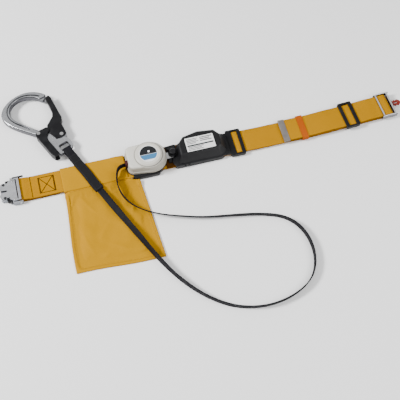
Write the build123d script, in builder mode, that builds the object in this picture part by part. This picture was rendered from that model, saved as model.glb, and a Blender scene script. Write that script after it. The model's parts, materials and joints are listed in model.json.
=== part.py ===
"""Self retracting lifeline on a waist belt, laid flat on the ground.

The belt runs along X with its centre line at y = 0, and z = 0 is the ground.
The reel and the energy absorber ride on the belt, the bag hangs from it, and
the lifeline leaves the reel's mouth, lies in one big loop and ends at the hook.
"""
from build123d import *
import math
import os

os.makedirs("parts", exist_ok=True)

# ---------------------------------------------------------------- driving dimensions, mm
belt_width = 50.0
belt_thickness = 2.5
belt_z = 5.25                 # mid height of the main strap
tail_z = 9.6                  # mid height of the folded-back tail
belt_half = belt_width / 2
belt_top = belt_z + belt_thickness / 2
belt_low = belt_z - belt_thickness / 2
tail_top = tail_z + belt_thickness / 2
tail_end_x = 196.0
stitched_end_x = -258.0

bend_x = 270.0                # the belt lies straight up to here, then bends sideways
bend_angle = 3.0
bend_axis = Axis((bend_x, 0, 0), (0, 0, 1))

left_bar_x = -334.0
left_bar_z = 5.3
right_bar_x = 424.0
right_bar_z = 7.2
bar_r = 1.9
left_loop_r = 3.5
right_loop_r = 4.0

drum_x, drum_y = -76.0, 1.5
base_z = 8.0                  # where the reel's case stands on its belt bracket
split_z = 15.0                # joint between the two covers
rim_z = 29.5                  # top of the sloping wall
dome_z = 34.5
wall = 2.2
frame_z = base_z + wall
dome_r = 27.0
badge_r = 18.5
flange_r = 23.0
hub_r = 18.0
shaft_r = 3.0
web_width = 13.0
web_thickness = 2.0
web_low_z = 13.2
web_mid_z = web_low_z + web_width / 2
mouth_x = -124.0                # outer face of the webbing's mouth
mouth_back_x = -119.2
mouth_y = -4.0

absorber_base_top = 10.5

hook_x, hook_y, hook_z = -232.5, 75.5, 10.5
hook_angle = 113.5            # direction of the hook's long axis, from +X
hook_half = 6.5
gate_half = 6.2
gate_slot_half = 4.3
gate_reach = 99.6              # from the gate's pivot to its far end
gate_slot_start = 90.6
nose_tongue_half = 4.0
lever_half = 8.5
lever_inner = 7.0
gate_pivot = (22.5, -10.5)
lever_pivot = (50.0, 26.0)
pin_r = 2.5
eye_bar_x = -12.0
eye_bar_r = 3.4
sleeve_start, sleeve_end = -28.0, -126.0

cord_diameter = 14.0

# ---------------------------------------------------------------- helpers


def block(x0, x1, y0, y1, z0, z1, mode=Mode.ADD):
    """A box between two corners, in the part that is being built."""
    with Locations(((x0 + x1) / 2, (y0 + y1) / 2, (z0 + z1) / 2)):
        Box(x1 - x0, y1 - y0, z1 - z0, mode=mode)


def post(x, y, z0, z1, radius, mode=Mode.ADD):
    """An upright cylinder from z0 to z1."""
    with Locations((x, y, (z0 + z1) / 2)):
        Cylinder(radius, z1 - z0, mode=mode)


def save(builder, label, bent=False):
    """Write one node. What sits beyond the belt's bend is turned with it."""
    shape = builder.part.rotate(bend_axis, bend_angle) if bent else builder.part
    shape.label = label
    export_step(shape, f"parts/{label}.step")


def upright_edges(builder):
    return builder.edges().filter_by(Axis.Z)


# ---------------------------------------------------------------- belt webbing
with BuildPart() as belt_end:
    with BuildSketch(Plane.XZ.offset(-belt_half)):
        with BuildLine():
            run = Polyline((bend_x - 2, belt_z), (400, belt_z), (412, right_bar_z - right_loop_r))
            lead = Line(run @ 1, (right_bar_x, right_bar_z - right_loop_r))
            right_turn = ThreePointArc(
                lead @ 1,
                (right_bar_x + right_loop_r, right_bar_z),
                (right_bar_x, right_bar_z + right_loop_r),
            )
            Polyline(right_turn @ 1, (414, right_bar_z + right_loop_r), (402, tail_z), (bend_x - 2, tail_z))
        trace(line_width=belt_thickness)
    extrude(amount=belt_width)

with BuildPart() as belt_strap:
    with BuildSketch(Plane.XZ.offset(-belt_half)):
        with BuildLine():
            stitched = Line((stitched_end_x, left_bar_z - left_loop_r), (left_bar_x, left_bar_z - left_loop_r))
            left_turn = ThreePointArc(
                stitched @ 1,
                (left_bar_x - left_loop_r, left_bar_z),
                (left_bar_x, left_bar_z + left_loop_r),
            )
            step_down = Polyline(left_turn @ 1, (-324, left_bar_z + left_loop_r), (-312, belt_z))
            Line(step_down @ 1, (bend_x + 2, belt_z))
        with BuildLine():
            Line((bend_x + 2, tail_z), (tail_end_x, tail_z))
        trace(line_width=belt_thickness)
    extrude(amount=belt_width)
    add(belt_end.part.rotate(bend_axis, bend_angle))
save(belt_strap, "belt_strap")

# metal clip crimped on the end of the tail
with BuildPart() as belt_tip:
    block(tail_end_x - 1.2, tail_end_x + 11, -belt_half - 0.4, belt_half + 0.4, tail_z - 2.25, tail_z + 2.25)
    block(tail_end_x, tail_end_x + 12, -belt_half - 1, belt_half + 1, tail_z - 1.25, tail_z + 1.25, Mode.SUBTRACT)
    fillet(belt_tip.edges().filter_by(Axis.Y).group_by(Axis.X)[0], 0.5)
save(belt_tip, "belt_tip")

# brown thread: a box with a cross, and a dense bar at each end of it
stitch_x, stitch_long, stitch_wide = -280.0, 28.0, 34.0
with BuildPart() as box_stitch:
    with BuildSketch(Plane.XY.offset(belt_top)):
        for side in (-1, 1):
            with Locations((stitch_x, side * stitch_wide / 2)):
                Rectangle(stitch_long + 0.9, 0.9)
            with Locations((stitch_x + side * (stitch_long / 2 + 1), 0)):
                Rectangle(2.2, stitch_wide + 2)
            with Locations((stitch_x, 0)):
                slant = math.degrees(math.atan2(side * stitch_wide, stitch_long))
                Rectangle(math.hypot(stitch_long, stitch_wide), 0.9, rotation=slant)
    extrude(amount=0.35)
save(box_stitch, "box_stitch")

# elastic keeper round both layers
keeper_x = 239.0
with BuildPart() as belt_keeper:
    with BuildSketch(Plane.YZ.offset(keeper_x - 6.5)):
        with Locations((0, (belt_low + tail_top) / 2)):
            RectangleRounded(belt_width + 3.6, tail_top - belt_low + 3.0, 1.6)
            RectangleRounded(belt_width + 1.0, tail_top - belt_low + 0.8, 0.6, mode=Mode.SUBTRACT)
    extrude(amount=13)
save(belt_keeper, "belt_keeper")

# ---------------------------------------------------------------- sliding adjusters
slider_half = belt_half + 4.5


def slider_solid(x0, x1, bar, strap_low, strap_top):
    """Outer bars over the strap, middle bar under it, side rails at the ends."""
    gap = 0.35
    rail_low = strap_low - gap - 1.4
    rail_top = strap_top + gap + 2.6
    middle = (x0 + x1) / 2
    with BuildPart() as slider:
        block(x0, x1, -slider_half, slider_half, rail_low, rail_top)
        block(x0 - 1, x1 + 1, -belt_half - 0.5, belt_half + 0.5, strap_low - gap, strap_top + gap, Mode.SUBTRACT)
        for low, high in ((rail_low - 1, strap_low - gap), ):
            block(x0 - 1, middle - 4, -belt_half - 0.5, belt_half + 0.5, low, high, Mode.SUBTRACT)
            block(middle + 4, x1 + 1, -belt_half - 0.5, belt_half + 0.5, low, high, Mode.SUBTRACT)
        block(x0 + bar, x1 - 7, -belt_half - 0.5, belt_half + 0.5, strap_top, rail_top + 1, Mode.SUBTRACT)
        fillet(slider.edges().filter_by(Axis.Z).group_by(Axis.Y)[0], 3)
        fillet(slider.edges().filter_by(Axis.Z).group_by(Axis.Y)[-1], 3)
        fillet(slider.edges().group_by(Axis.Z)[-1], 0.8)
    return slider


absorber_slider = slider_solid(85.0, 115.0, 11.5, belt_low, belt_top)
save(absorber_slider, "absorber_slider")
tail_slider = slider_solid(325.0, 354.0, 7.0, tail_z - belt_thickness / 2, tail_top)
save(tail_slider, "tail_slider", bent=True)

# ---------------------------------------------------------------- bag
bag_outline = [
    (-251, -27.3), (-124, -27.3), (-124, -34), (-102, -34),
    (-97, -109), (-92, -165), (-90, -205), (-260, -198),
]
for label, low, high in (("bag_back_panel", 0.0, 1.5), ("bag_front_panel", 1.5, 3.0)):
    with BuildPart() as bag_panel:
        with BuildSketch(Plane.XY.offset(low)):
            with BuildLine():
                Polyline(*bag_outline, close=True)
            make_face()
        extrude(amount=high - low)
    save(bag_panel, label)

with BuildPart() as bag_tunnel:
    with BuildSketch(Plane.YZ.offset(-250.5)):
        with Locations((0, belt_z - 0.25)):
            RectangleRounded(belt_width + 4.4, 6.0, 1.5)
            RectangleRounded(belt_width + 1.0, 3.4, 0.5, mode=Mode.SUBTRACT)
    extrude(amount=127)
save(bag_tunnel, "bag_tunnel")

# ---------------------------------------------------------------- reel case
with BuildSketch() as case_outline:
    with Locations((drum_x + 4.5, 2.8)):
        Circle(30.8)
    for corner_y in (19.5, -11.0):
        with Locations((-108.5, corner_y)):
            Circle(12.5)
    make_hull()


def cut_mouth():
    """Room for the mouth's frame and its spigot in the case's left wall."""
    half_high = web_width / 2 + 2.55
    block(-130, mouth_back_x, mouth_y - 5.8, mouth_y + 5.8, web_mid_z - half_high, web_mid_z + half_high, Mode.SUBTRACT)
    half_high = web_width / 2 + 1.1
    block(-130, -108, mouth_y - 3.2, mouth_y + 3.2, web_mid_z - half_high, web_mid_z + half_high, Mode.SUBTRACT)


with BuildPart() as reel_bracket:
    with BuildSketch():
        offset(case_outline.sketch, amount=1.0)
        with Locations((-86, -19)):
            RectangleRounded(56, 26, 9)
    extrude(amount=base_z)
    block(-130, -30, -belt_half - 0.6, belt_half + 0.6, belt_low - 0.3, belt_top + 0.3, Mode.SUBTRACT)
    chamfer(reel_bracket.edges().group_by(Axis.Z)[-1], 0.8)
save(reel_bracket, "reel_bracket")

with BuildPart() as reel_back_cover:
    with BuildSketch(Plane.XY.offset(base_z)):
        add(case_outline.sketch)
    extrude(amount=split_z - base_z)
    fillet(reel_back_cover.edges().group_by(Axis.Z)[0], 1.2)
    with BuildSketch(Plane.XY.offset(base_z + wall)):
        offset(case_outline.sketch, amount=-wall)
    extrude(amount=split_z, mode=Mode.SUBTRACT)
    cut_mouth()
    block(-50, -30, -7.4, 7.4, frame_z + 1.2, split_z + 1, Mode.SUBTRACT)
save(reel_back_cover, "reel_back_cover")

with BuildPart() as reel_front_cover:
    with BuildSketch(Plane.XY.offset(split_z)):
        offset(case_outline.sketch, amount=-0.6)
    with BuildSketch(Plane.XY.offset(rim_z)):
        offset(case_outline.sketch, amount=-2.2)
    loft(ruled=True)
    fillet(reel_front_cover.edges().group_by(Axis.Z)[-1], 5)
    post(drum_x, drum_y, rim_z - 4, rim_z + 1.2, dome_r + 2.4)
    chamfer(reel_front_cover.edges().group_by(Axis.Z)[-1], 0.9)
    post(drum_x, drum_y, rim_z - 4, dome_z, dome_r)
    chamfer(reel_front_cover.edges().group_by(Axis.Z)[-1], 2.5, 3.5)
    with BuildSketch(Plane.XY.offset(split_z)):
        offset(case_outline.sketch, amount=-0.6 - wall)
    with BuildSketch(Plane.XY.offset(rim_z - wall)):
        offset(case_outline.sketch, amount=-2.2 - wall)
    loft(ruled=True, mode=Mode.SUBTRACT)
    post(drum_x, drum_y, rim_z - 5, dome_z - wall, dome_r - 3.0, Mode.SUBTRACT)
    post(drum_x, drum_y, dome_z - 0.7, dome_z + 1, badge_r + 0.1, Mode.SUBTRACT)
    cut_mouth()
save(reel_front_cover, "reel_front_cover")

with BuildPart() as reel_badge:
    post(drum_x, drum_y, dome_z - 0.7, dome_z + 0.3, badge_r)
save(reel_badge, "reel_badge")

# frame round the webbing's mouth
with BuildPart() as reel_mouth:
    with BuildSketch(Plane.YZ.offset(mouth_x)):
        with Locations((mouth_y, web_mid_z)):
            RectangleRounded(11.5, web_width + 5, 3)
            RectangleRounded(4.6, web_width + 1.0, 1.5, mode=Mode.SUBTRACT)
    extrude(amount=mouth_back_x - mouth_x)
    with BuildSketch(Plane.YZ.offset(mouth_back_x)):
        with Locations((mouth_y, web_mid_z)):
            Rectangle(6.3, web_width + 2.1)
            RectangleRounded(4.6, web_width + 1.0, 1.5, mode=Mode.SUBTRACT)
    extrude(amount=2.4)
save(reel_mouth, "reel_mouth")

# steel frame: plate under the drum, lug through the case's right side
with BuildPart() as reel_frame:
    with BuildSketch(Plane.XY.offset(frame_z)):
        with Locations((drum_x, drum_y)):
            Circle(26)
    extrude(amount=1.2)
    block(-60, -45, -7, 7, frame_z, frame_z + 1.2)
    block(-48, -26, -7, 7, frame_z + 1.2, frame_z + 3.4)
    fillet(reel_frame.edges().filter_by(Axis.Z).group_by(Axis.X)[-1], 5)
    post(-33, 0, frame_z, frame_z + 4, 2.6, Mode.SUBTRACT)
    post(drum_x, drum_y, frame_z - 1, frame_z + 2, shaft_r, Mode.SUBTRACT)
save(reel_frame, "reel_frame")

with BuildPart() as drum_shaft:
    post(drum_x, drum_y, frame_z, dome_z - wall, shaft_r)
save(drum_shaft, "drum_shaft")

drum_low = 11.8
drum_high = 27.8
with BuildPart() as shaft_bush:
    post(drum_x, drum_y, frame_z + 1.2, drum_low + 1.0, 5.5)
    post(drum_x, drum_y, frame_z, drum_high, shaft_r + 0.02, Mode.SUBTRACT)
save(shaft_bush, "shaft_bush")

with BuildPart() as reel_drum:
    post(drum_x, drum_y, drum_low, drum_low + 1.0, flange_r)
    post(drum_x, drum_y, drum_low, drum_high, hub_r)
    post(drum_x, drum_y, drum_high - 1.2, drum_high, flange_r)
    post(drum_x, drum_y, drum_low + 1.0, drum_high + 1, hub_r - 1.5, Mode.SUBTRACT)
    post(drum_x, drum_y, drum_low - 1, drum_high, 5.55, Mode.SUBTRACT)
save(reel_drum, "reel_drum")

# last turns of webbing that stay on the drum
with BuildPart() as wound_webbing:
    post(drum_x, drum_y, web_low_z, web_low_z + web_width, hub_r + 3.4)
    post(drum_x, drum_y, web_low_z - 1, web_low_z + web_width + 1, hub_r, Mode.SUBTRACT)
save(wound_webbing, "wound_webbing")

# straight stretch between the wound turns and the mouth
feed_r = hub_r + 3.4 + 0.4 + web_thickness / 2
mouth_dx, mouth_dy = mouth_x - drum_x, mouth_y - drum_y
mouth_distance = math.hypot(mouth_dx, mouth_dy)
feed_angle = math.atan2(mouth_dy, mouth_dx) + math.acos(feed_r / mouth_distance)
feed_point = (drum_x + feed_r * math.cos(feed_angle), drum_y + feed_r * math.sin(feed_angle))
with BuildPart() as webbing_feed:
    with BuildSketch(Plane.XY.offset(web_low_z)):
        with BuildLine():
            Polyline(feed_point, (mouth_back_x + 4, mouth_y), (mouth_x + 0.6, mouth_y))
        trace(line_width=web_thickness)
    extrude(amount=web_width)
save(webbing_feed, "webbing_feed")

# flat spiral spring inside the hub
spring_turns = 5
spring_step = 1.1
with BuildPart() as mainspring:
    with BuildSketch(Plane.XY.offset(15.0)):
        with BuildLine():
            for half_turn in range(2 * spring_turns):
                far_half = half_turn % 2
                centre = (drum_x + far_half * spring_step, drum_y)
                CenterArc(centre, shaft_r + 1.0 + half_turn * spring_step, 180 * far_half, 180)
        trace(line_width=0.5)
    extrude(amount=12)
save(mainspring, "mainspring")

# brake: toothed ring fixed to the front cover, pawls carried by the drum
brake_low = drum_high + 0.3
with BuildPart() as ratchet_ring:
    with BuildSketch(Plane.XY.offset(brake_low)):
        with Locations((drum_x, drum_y)):
            Circle(dome_r - 3.1)
            Circle(dome_r - 6.4, mode=Mode.SUBTRACT)
            with PolarLocations(dome_r - 6.0, 12):
                Rectangle(2.6, 4.2, mode=Mode.SUBTRACT)
    extrude(amount=1.5)
save(ratchet_ring, "ratchet_ring")

pawl_r = 12.5
for label, side in (("pawl_left", -1), ("pawl_right", 1)):
    with BuildPart() as pawl:
        with BuildSketch(Plane.XY.offset(brake_low)):
            with Locations((drum_x + side * pawl_r, drum_y - side * 6.0)):
                Circle(2.4)
            with Locations((drum_x + side * (pawl_r + 1.0), drum_y + side * 1.5)):
                Rectangle(3.6, 15)
            with Locations((drum_x + side * pawl_r, drum_y - side * 6.0)):
                Circle(1.06, mode=Mode.SUBTRACT)
        extrude(amount=1.4)
    save(pawl, label)

with BuildPart() as pawl_pins:
    for side in (-1, 1):
        post(drum_x + side * pawl_r, drum_y - side * 6.0, brake_low - 0.3, brake_low + 1.5, 1.0)
save(pawl_pins, "pawl_pins")

# four screws from the back, hidden in the cover's corners
with BuildPart() as case_screws:
    for x, y in ((-112, 22), (-112, -13.5), (-53, 21), (-53, -14.5)):
        post(x, y, base_z + wall, base_z + wall + 1.6, 1.7)
        post(x, y, base_z + wall + 1.6, rim_z - 8, 1.2)
save(case_screws, "case_screws")

# ---------------------------------------------------------------- link between reel and absorber
knob_x, knob_y = -27.5, 3.0
with BuildPart() as link_knob:
    post(knob_x, knob_y, frame_z + 3.7, frame_z + 12.7, 6.4)
    chamfer(link_knob.edges().group_by(Axis.Z)[-1], 1.2)
    post(knob_x - 1, knob_y, frame_z + 3.7, frame_z + 6.2, 8.4)
    with BuildSketch(Plane.XY.offset(frame_z + 3.7)):
        with BuildLine():
            Polyline((-31, 5), (-38.5, 11.5), (-35.5, 13.5), (-24, 9), close=True)
        make_face()
    extrude(amount=6)
save(link_knob, "link_knob")

# flat guard over the belt, between the reel and the absorber
with BuildPart() as link_plate:
    with BuildSketch(Plane.XY.offset(belt_top + 0.4)):
        with BuildLine():
            Polyline((-38.8, -15), (-34, -14.5), (-25.8, 4), (-17.2, 22.4), (-22, 24.5), (-38.8, 23), close=True)
        make_face()
    extrude(amount=3.2)
    chamfer(link_plate.edges().group_by(Axis.Z)[-1], 0.5)
save(link_plate, "link_plate")

with BuildPart() as link_pin:
    post(-33, 0, frame_z + 0.2, frame_z + 3.7, 2.5)
save(link_pin, "link_pin")

# ---------------------------------------------------------------- energy absorber
absorber_front = -27.0
cover_top = 31.0
base_outline = [
    (-26, absorber_front), (66, absorber_front), (81, -18), (83.5, 16),
    (80, 24), (66, 30), (-2, 30), (-16, 22), (-25, 4), (-33, -14),
]
cover_foot = [(-20, -24), (64, -25), (79, -17), (81.5, 18), (64, 28), (28, 29), (-3, 28), (-19, 14)]
cover_face = [(-14, -15), (60, -17), (67, -11), (68, 15), (60, 26.5), (28, 31), (-2, 24.5), (-14, 11)]


def cover_loft(inset, low, high, mode=Mode.ADD):
    """Sloping walls between the cover's foot and its face, both set in by the same amount."""
    sections = []
    for points, height in ((cover_foot, low), (cover_face, high)):
        with BuildSketch(Plane.XY.offset(height)) as section:
            with BuildLine():
                Polyline(*points, close=True)
            make_face()
            if inset:
                offset(amount=-inset, kind=Kind.INTERSECTION, mode=Mode.REPLACE)
        sections.append(section.sketch)
    loft(sections, ruled=True, mode=mode)


with BuildPart() as absorber_base:
    with BuildSketch():
        with BuildLine():
            Polyline(*base_outline, close=True)
        base_face = make_face()
        fillet(base_face.vertices(), 3.0)
    extrude(amount=absorber_base_top)
    chamfer(absorber_base.edges().group_by(Axis.Z)[-1], 1.0)
    block(-40, 100, -belt_half - 0.6, belt_half + 0.6, belt_low - 0.3, belt_top + 0.3, Mode.SUBTRACT)
save(absorber_base, "absorber_base")

with BuildPart() as absorber_cover:
    cover_loft(0, absorber_base_top, cover_top)
    chamfer(absorber_cover.edges().group_by(Axis.Z)[-1], 2.0)
    cover_loft(3.0, absorber_base_top, cover_top - 2.5, Mode.SUBTRACT)
save(absorber_cover, "absorber_cover")

# tear webbing, folded in a zigzag stack
stack_x0, stack_x1 = -3.0, 53.0
stack_step = 2.7
with BuildPart() as tear_webbing:
    with BuildSketch(Plane.XZ.offset(-12)):
        with BuildLine():
            layers = 6
            for layer in range(layers):
                height = 12.2 + layer * stack_step
                Line((stack_x0, height), (stack_x1, height))
                if layer < layers - 1:
                    turn_x, side = (stack_x1, 1) if layer % 2 == 0 else (stack_x0, -1)
                    peak = (turn_x + side * stack_step / 2, height + stack_step / 2)
                    ThreePointArc((turn_x, height), peak, (turn_x, height + stack_step))
        trace(line_width=1.6)
    extrude(amount=24)
save(tear_webbing, "tear_webbing")

with BuildPart() as absorber_label:
    with BuildSketch(Plane.XY.offset(cover_top)):
        with Locations((28, 2.5)):
            RectangleRounded(57, 31, 1.0)
    extrude(amount=0.4)
save(absorber_label, "absorber_label")

with BuildPart() as absorber_rivets:
    for x in (-9, -1):
        with Locations(Location((x, absorber_front - 0.75, 6.0), (90, 0, 0))):
            Cylinder(1.8, 1.5)
save(absorber_rivets, "absorber_rivets")

# ---------------------------------------------------------------- left buckle, takes the tongue
buckle_x0, buckle_x1 = -370.0, -340.0
buckle_half = 25.0
lobe_half = 18.0
rim_end_x = -331.5             # the cover's rim reaches over the webbing's loop
rivet_places = [
    (x, side * y) for x, y in ((buckle_x0 + 8.5, 14.6), (buckle_x1 - 2.5, 20)) for side in (-1, 1)
]
with BuildPart() as buckle_base:
    block(buckle_x0, buckle_x0 + 20, -lobe_half, lobe_half, 1.0, 3.4)
    block(buckle_x0 + 18, buckle_x1, -buckle_half, buckle_half, 1.0, 3.4)
    for side in (-1, 1):
        inner, outer = sorted((side * 12.0, side * lobe_half))
        block(buckle_x0 + 6, buckle_x0 + 11, inner, outer, 3.4, 10.6)
        inner, outer = sorted((side * 17.2, side * buckle_half))
        block(buckle_x1 - 5, buckle_x1, inner, outer, 3.4, 10.6)
        inner, outer = sorted((side * (belt_half + 0.4), side * (belt_half + 3.2)))
        block(buckle_x1 - 8, -329, inner, outer, 1.0, 10.6)
        block(buckle_x1 - 8, buckle_x1, *sorted((side * (buckle_half - 2), side * (belt_half + 1))), 1.0, 10.6)
    fillet(upright_edges(buckle_base).group_by(Axis.X)[0], 4)
    fillet(upright_edges(buckle_base).group_by(Axis.X)[-1], 1.2)
    with Locations(Location((left_bar_x, 0, left_bar_z), (90, 0, 0))):
        Cylinder(bar_r, 80, mode=Mode.SUBTRACT)
    for x, y in rivet_places:
        post(x, y, 0, 12, 1.8, Mode.SUBTRACT)
save(buckle_base, "buckle_base")

with BuildPart() as buckle_cover:
    with BuildSketch(Plane.XY.offset(10.6)):
        with BuildLine():
            Polyline(
                (buckle_x0 + 1, -14), (buckle_x0 + 4, -lobe_half), (buckle_x0 + 11, -lobe_half - 0.5),
                (buckle_x0 + 15, -lobe_half + 1), (buckle_x0 + 19, -21), (buckle_x0 + 24, -buckle_half),
                (buckle_x1, -buckle_half), (buckle_x1, buckle_half), (buckle_x0 + 24, buckle_half),
                (buckle_x0 + 19, 21), (buckle_x0 + 15, lobe_half - 1), (buckle_x0 + 11, lobe_half + 0.5),
                (buckle_x0 + 4, lobe_half), (buckle_x0 + 1, 14), (buckle_x0 - 1, 8), (buckle_x0 + 2, 2.0),
                (buckle_x0 + 12, 1.2), (buckle_x0 + 12, -1.2), (buckle_x0 + 2, -2.0), (buckle_x0 - 1, -8),
                close=True,
            )
        make_face()
    extrude(amount=2.4)
    fillet(upright_edges(buckle_cover).group_by(Axis.X)[-1], 1.5)
    chamfer(buckle_cover.edges().group_by(Axis.Z)[-1], 0.7)
    block(buckle_x1 - 1.5, rim_end_x, -buckle_half + 0.6, buckle_half - 0.6, 12.0, 13.0)
    block(buckle_x1 + 0.4, rim_end_x, -buckle_half + 0.6, buckle_half - 0.6, 13.0, 14.2)
    block(buckle_x1 + 1.5, buckle_x1 + 3.7, -buckle_half + 3, buckle_half - 3, 11, 15, Mode.SUBTRACT)
    for x, y in rivet_places:
        post(x, y, 8, 14, 1.8, Mode.SUBTRACT)
save(buckle_cover, "buckle_cover")

with BuildPart() as buckle_rivets:
    for x, y in rivet_places:
        post(x, y, 0.6, 13.0, 1.8)
        post(x, y, 13.0, 13.8, 2.6)
save(buckle_rivets, "buckle_rivets")

with BuildPart() as left_bar:
    with Locations(Location((left_bar_x, 0, left_bar_z), (90, 0, 0))):
        Cylinder(bar_r, 2 * belt_half + 6.4)
save(left_bar, "left_bar")

# press-in release buttons, each with its latch inside the buckle
for label, side in (("release_button_near", -1), ("release_button_far", 1)):
    with BuildPart() as button:
        block(-358, -348.6, *sorted((side * 20.0, side * 23.6)), 3.9, 10.1)
        block(-357, -349.4, *sorted((side * 12.4, side * 20.0)), 3.9, 10.1)
        block(-350, -341.4, *sorted((side * 13.4, side * 16.6)), 3.9, 10.1)
        fillet(upright_edges(button).group_by(Axis.Y)[0 if side < 0 else -1], 1.5)
    save(button, label)
    with BuildPart() as button_spring:
        with Locations(Location((-344.4, side * 7.4, 7.0), (90, 0, 0))):
            Cylinder(1.9, 12.0)
            Cylinder(1.2, 14, mode=Mode.SUBTRACT)
    save(button_spring, label.replace("release_button", "button_spring"))

# black guard along the far side of the webbing slot
with BuildPart() as slot_guard:
    block(-343, -322, belt_half + 0.1, belt_half + 3.4, 10.6, 12.8)
    fillet(slot_guard.edges().group_by(Axis.Z)[-1], 0.8)
save(slot_guard, "slot_guard")

with BuildPart() as spring_post:
    block(-347, -341.8, -1.4, 1.4, 3.4, 10.6)
save(spring_post, "spring_post")

# ---------------------------------------------------------------- right buckle with its tongue
frame_half = belt_half + 0.4
with BuildPart() as tongue_frame:
    for side in (-1, 1):
        inner, outer = sorted((side * frame_half, side * (frame_half + 2.2)))
        block(404, 436, inner, outer, 4.4, 14.8)
    fillet(upright_edges(tongue_frame).group_by(Axis.X)[0], 1.0)
    with Locations(Location((right_bar_x, 0, right_bar_z), (90, 0, 0))):
        Cylinder(bar_r, 80, mode=Mode.SUBTRACT)
    fillet(tongue_frame.edges().filter_by(Axis.X).group_by(Axis.Z)[-1], 1.0)
    block(430.5, 434, -frame_half, frame_half, 4.0, 13.5)
    block(406, 409, -frame_half, frame_half, 12.4, 14.6)
save(tongue_frame, "tongue_frame", bent=True)

with BuildPart() as right_bar:
    with Locations(Location((right_bar_x, 0, right_bar_z), (90, 0, 0))):
        Cylinder(bar_r, 2 * frame_half + 4.4)
save(right_bar, "right_bar", bent=True)

with BuildPart() as buckle_tongue:
    with BuildSketch(Plane.XY.offset(7.0)):
        with BuildLine():
            right_side = Polyline(
                (434, 6.0), (437, 7.6), (438.5, 4.6), (442, 7.6), (444, 4.6), (448, 7.4), (452.5, 4), (454, 0),
            )
            mirror(right_side, about=Plane.XZ)
            Line((434, 6.0), (434, -6.0))
        make_face()
        with Locations((443, 0)):
            SlotOverall(8, 3.0, mode=Mode.SUBTRACT)
    extrude(amount=2.6)
    chamfer(buckle_tongue.edges().group_by(Axis.Z)[-1], 0.5)
save(buckle_tongue, "buckle_tongue", bent=True)

# ---------------------------------------------------------------- hook
along = (math.cos(math.radians(hook_angle)), math.sin(math.radians(hook_angle)), 0)
hook_plane = Plane(origin=(hook_x, hook_y, hook_z), x_dir=along, z_dir=(0, 0, 1))
side_plane = Plane(origin=(hook_x, hook_y, hook_z), x_dir=along, z_dir=(along[1], -along[0], 0))
outer_side = [
    (123, -37.5), (137, -28.5), (149, -14), (155, 2), (156, 19), (152.5, 37), (144, 53),
    (130, 63.5), (112, 64), (92, 56), (74, 45.5), (46, 28.5),
]
inner_side = [
    (50, 17.5), (76, 31.5), (92, 39.5), (107, 46), (120, 47), (132, 43), (140.5, 35), (145, 24),
    (145, 10), (139, -5), (129, -16), (113, -23.5),
]
groove = [
    (127, -25), (139.5, -12.5), (147, 1), (149.5, 15), (147.5, 29), (139.5, 43.5), (126.5, 52),
    (109.5, 52.5), (92, 45), (70.5, 33.5),
]
plate = [
    (31.5, -13.5), (37, -3), (43, 10), (56, 20), (48, 28.5), (20, 17.5), (-15, 16.5),
    (-15, 11), (5, -3), (14, -14),
]
gate_outline = [
    (115.2, -31.2), (79, -24.5), (69, -18), (57, 2), (45, 8), (29, 6.5), (20.5, 4), (16.8, -5), (16.6, -14),
    (20, -20), (47, -24.5), (52, -30), (58, -33), (110.5, -41.5), (116.3, -41.2), (118.4, -38.2),
]
gate_slot = [gate_pivot, (56, -17.5), (57.5, -7), (66, -5.5), (66, 20), (5, 20), (5, -10)]
lever_outline = [
    (45, 3), (53.5, 5), (55.5, 18), (54.5, 31), (46, 33.5), (-5, 32), (-15.5, 29), (-17, 21),
    (-12, 18.3), (28, 18.3), (37, 14),
]
lever_channel = [
    (80, -5), (80, 45), (48, 45), (42, 31), (-4, 29.5), (-30, 28.3), (-30, -5),
]


def hook_polygon(points, z, corner=0.0):
    """A face in the hook's plane, at height z above its middle, with rounded corners."""
    with BuildSketch(hook_plane.offset(z)) as flat:
        with BuildLine():
            Polyline(*points, close=True)
        face = make_face()
        if corner:
            fillet(face.vertices(), corner)
    return flat.sketch


with BuildPart() as hook_body:
    with BuildSketch(hook_plane.offset(-hook_half)) as hook_face:
        with BuildLine():
            outer_curve = Spline(*outer_side)
            Line(outer_curve @ 1, inner_side[0])
            inner_curve = Spline(*inner_side)
            Line(inner_curve @ 1, outer_curve @ 0)
        make_face()
        fillet(hook_face.vertices(), 3)
    extrude(amount=2 * hook_half)
    fillet(hook_body.edges().group_by(Axis.Z)[-1], 2.4)
    fillet(hook_body.edges().group_by(Axis.Z)[0], 2.4)
    for low in (hook_half - 1.2, -hook_half - 0.8):
        with BuildSketch(hook_plane.offset(low)):
            with BuildLine():
                Spline(*groove)
            trace(line_width=3.2)
        extrude(amount=2, mode=Mode.SUBTRACT)
    extrude(hook_polygon(plate, -4), amount=8)
    with BuildSketch(hook_plane.offset(-4)):
        with Locations(gate_pivot):
            Circle(9.5)
    extrude(amount=8)
    with BuildSketch(hook_plane.offset(-4.2)):
        RectangleRounded(31, 34, 12)
    extrude(amount=8.4)
    with BuildSketch(hook_plane.offset(-20)):
        with Locations((-2.1, 0)):
            RectangleRounded(13, 21, 4)
        with Locations((-15, 0)):
            Rectangle(16, 21)
    extrude(amount=40, mode=Mode.SUBTRACT)
    with Locations(hook_plane * Location((eye_bar_x, 0, 0), (90, 0, 0))):
        Cylinder(eye_bar_r, 23)
    for x, y in (gate_pivot, lever_pivot):
        with Locations(hook_plane * Location((x, y, 0))):
            Cylinder(pin_r, 40, mode=Mode.SUBTRACT)
    # both faces of the nose are cut back to a tongue where the gate's fork swings past
    for low in (nose_tongue_half, -nose_tongue_half - 10):
        with BuildSketch(hook_plane.offset(low)):
            with Locations(gate_pivot):
                Circle(gate_reach + 0.6)
            with Locations((116, -27)):
                Rectangle(20, 30, mode=Mode.INTERSECT)
        extrude(amount=10, mode=Mode.SUBTRACT)
save(hook_body, "hook_body")

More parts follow.
